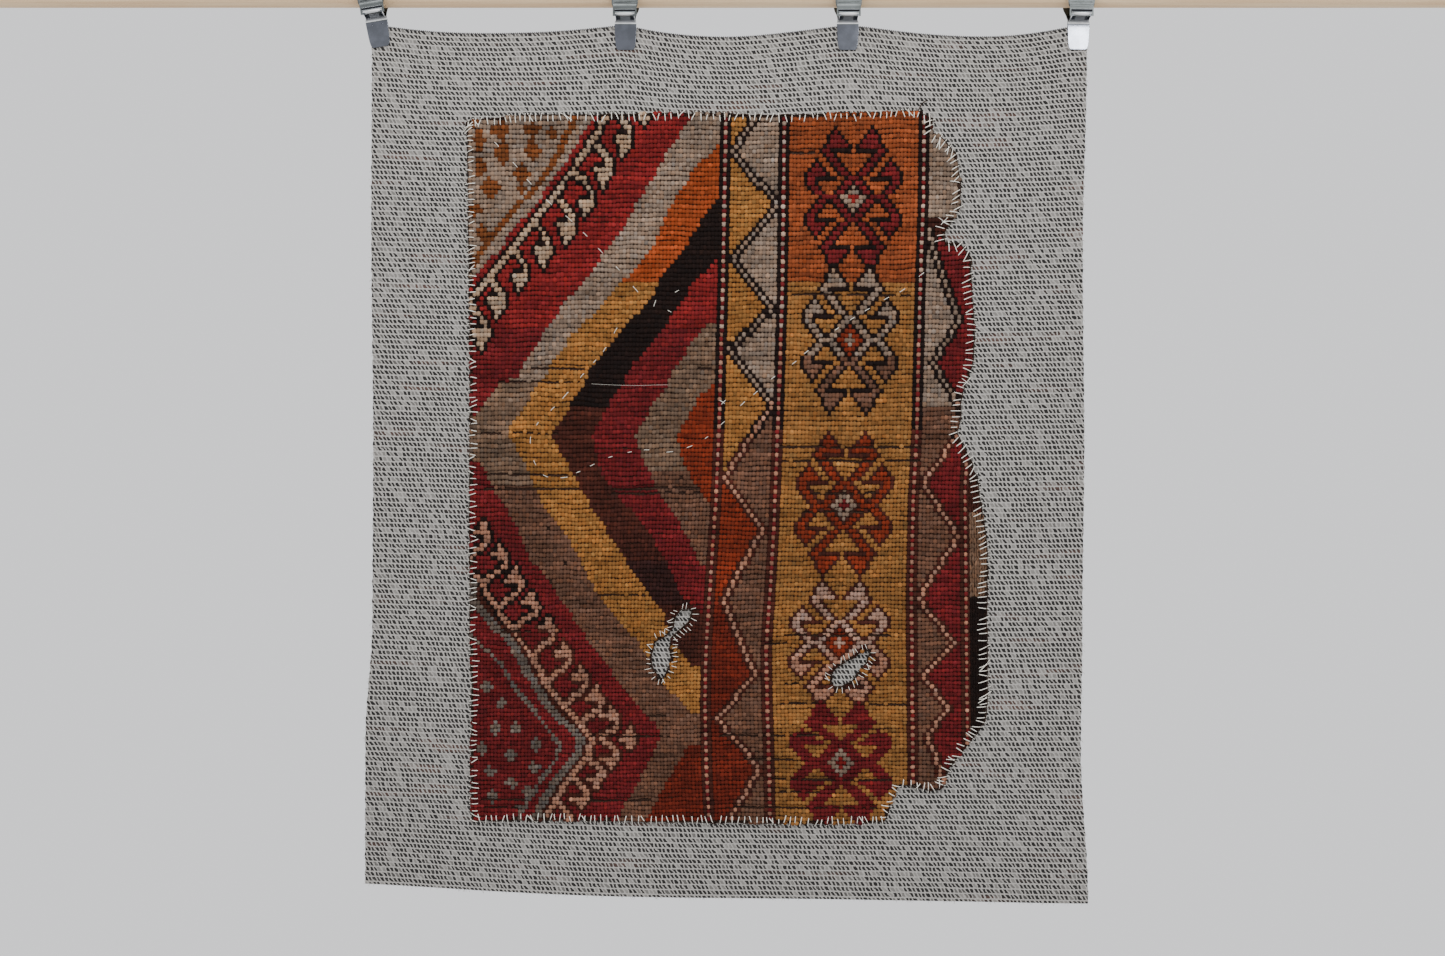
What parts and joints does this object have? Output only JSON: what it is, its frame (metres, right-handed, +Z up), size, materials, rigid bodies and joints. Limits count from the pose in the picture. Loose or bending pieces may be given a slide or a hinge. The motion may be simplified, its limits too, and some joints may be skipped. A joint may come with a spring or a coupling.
{
  "type": "tapestry rug hanging from clips on a rod",
  "caption": "Worn knotted-pile rug fragment stitched to a plain woven backing cloth, hung by lever clips from a round wooden rod.",
  "frame": {"origin": "on the rod's axis, half way along it", "axes": "+X along the rod to the right of someone who faces the rug, +Z up, the rug faces -Y"},
  "size_m": [1.5, 0.0391, 0.9279],
  "materials": {
    "pale_wood": "satin, pale straight grain",
    "clip_steel": "polished pressed sheet",
    "backing_weave": "coarse ribbed weave, dark flecks between pale cords",
    "wool_pile": "worn low knotted wool pile in rows",
    "sewing_thread": "soft cream thread"
  },
  "bodies": {
    "root": {"rod": "pale_wood", "backing_cloth": "backing_weave", "rug_fragment": "wool_pile", "clip_1_hook": "clip_steel", "clip_1_jaw": "clip_steel", "clip_1_lever": "clip_steel", "clip_2_hook": "clip_steel", "clip_2_jaw": "clip_steel", "clip_2_lever": "clip_steel", "clip_3_hook": "clip_steel", "clip_3_jaw": "clip_steel", "clip_3_lever": "clip_steel", "clip_4_hook": "clip_steel", "clip_4_jaw": "clip_steel", "clip_4_lever": "clip_steel"}
  },
  "joints": []
}
